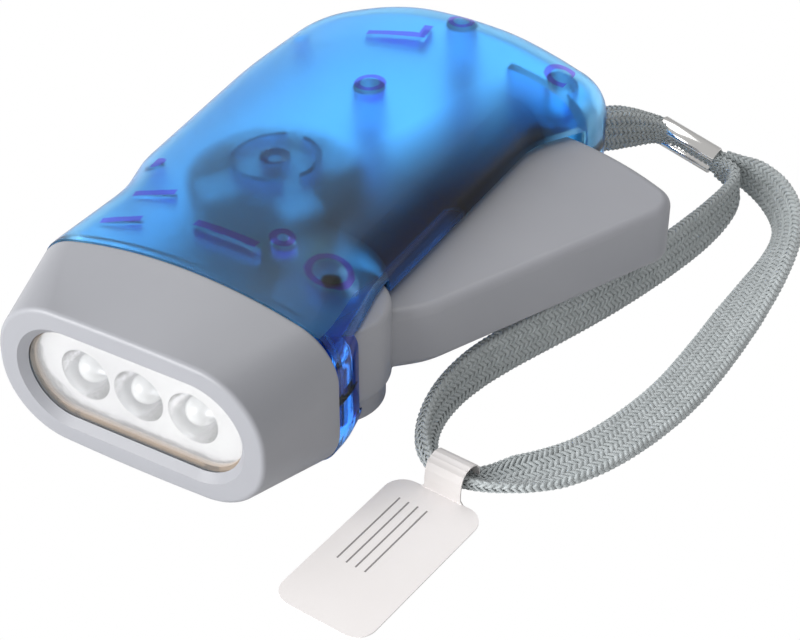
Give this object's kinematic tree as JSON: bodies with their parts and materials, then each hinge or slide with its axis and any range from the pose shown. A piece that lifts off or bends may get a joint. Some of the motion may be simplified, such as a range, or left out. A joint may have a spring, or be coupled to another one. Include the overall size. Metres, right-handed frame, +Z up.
{
  "type": "squeeze dynamo torch",
  "caption": "Hand torch lit by squeezing a spring-loaded side lever that spins a geared dynamo; translucent case, grey head with round-nosed lamps, and a wrist strap.",
  "frame": {"origin": "on the flat strip of the underside, at the middle of the torch's length and of its head", "axes": "+X to the side of the squeeze lever, -Y the way the light points, +Z up"},
  "size_m": [0.0932, 0.1218, 0.03],
  "materials": {
    "shell": "translucent tinted",
    "body_grey": "satin",
    "clear": "clear",
    "gasket": "matte",
    "plated": "bright",
    "led": "clear",
    "board": "matte",
    "dark": "matte",
    "steel": "ground",
    "gear": "matte",
    "plate": "matte",
    "winding": "enamelled",
    "magnet": "matte",
    "strap": "braided",
    "sleeve": "bright",
    "card": "bare card"
  },
  "bodies": {
    "case": {"case_screws": "steel", "cell_stack": "steel", "coil_bobbin": "dark", "coil_winding": "winding", "crimp_sleeve": "sleeve", "frame_plate": "plate", "gear_1_pin": "steel", "gear_2_pin": "steel", "head_cap": "body_grey", "led_1": "led", "led_2": "led", "led_3": "led", "led_board": "board", "lens": "clear", "lens_gasket": "gasket", "lever_pin": "steel", "lower_shell": "shell", "paper_tag": "card", "plate_screws": "steel", "rectifier_diodes": "dark", "reflector": "plated", "stator_cage": "steel", "stator_cap": "steel", "strap_loop": "strap", "strap_neck": "strap", "upper_shell": "shell"},
    "lever": {"lever": "body_grey", "return_spring": "steel"},
    "first_gear": {"gear_1": "gear"},
    "second_gear": {"gear_2": "gear"},
    "rotor": {"drive_shaft": "steel", "rotor_pinion": "gear", "ratchet_cross": "gear"},
    "flywheel": {"flywheel": "magnet"}
  },
  "joints": [
    {"name": "lever_swing", "type": "hinge", "parent": "case", "child": "lever", "pos_m": [0.017, -0.0225, 0.01475], "axis": [0, 0, 1], "range_deg": [0, 20], "stiffness_Nm_per_rad": 0.2, "springref_deg": -28.65},
    {"name": "gear_1_spin", "type": "hinge", "parent": "case", "child": "first_gear", "pos_m": [-0.00464, -0.0167, 0.007], "axis": [0, 0, 1], "range_deg": [-74, 0]},
    {"name": "gear_2_spin", "type": "hinge", "parent": "case", "child": "second_gear", "pos_m": [-0.01264, -0.01006, 0.008], "axis": [0, 0, 1], "range_deg": [0, 245]},
    {"name": "rotor_spin", "type": "hinge", "parent": "case", "child": "rotor", "pos_m": [-0.005, -0.003, 0.01], "axis": [0, 0, 1], "range_deg": [-816, 0]},
    {"name": "flywheel_spin", "type": "hinge", "parent": "case", "child": "flywheel", "pos_m": [-0.005, -0.003, 0.022], "axis": [0, 0, 1], "continuous": true}
  ],
  "couplings": [
    {"joint": "gear_1_spin", "follows": "lever_swing", "ratio": -3.6667},
    {"joint": "gear_2_spin", "follows": "lever_swing", "ratio": 12.222},
    {"joint": "rotor_spin", "follows": "lever_swing", "ratio": -40.741}
  ]
}
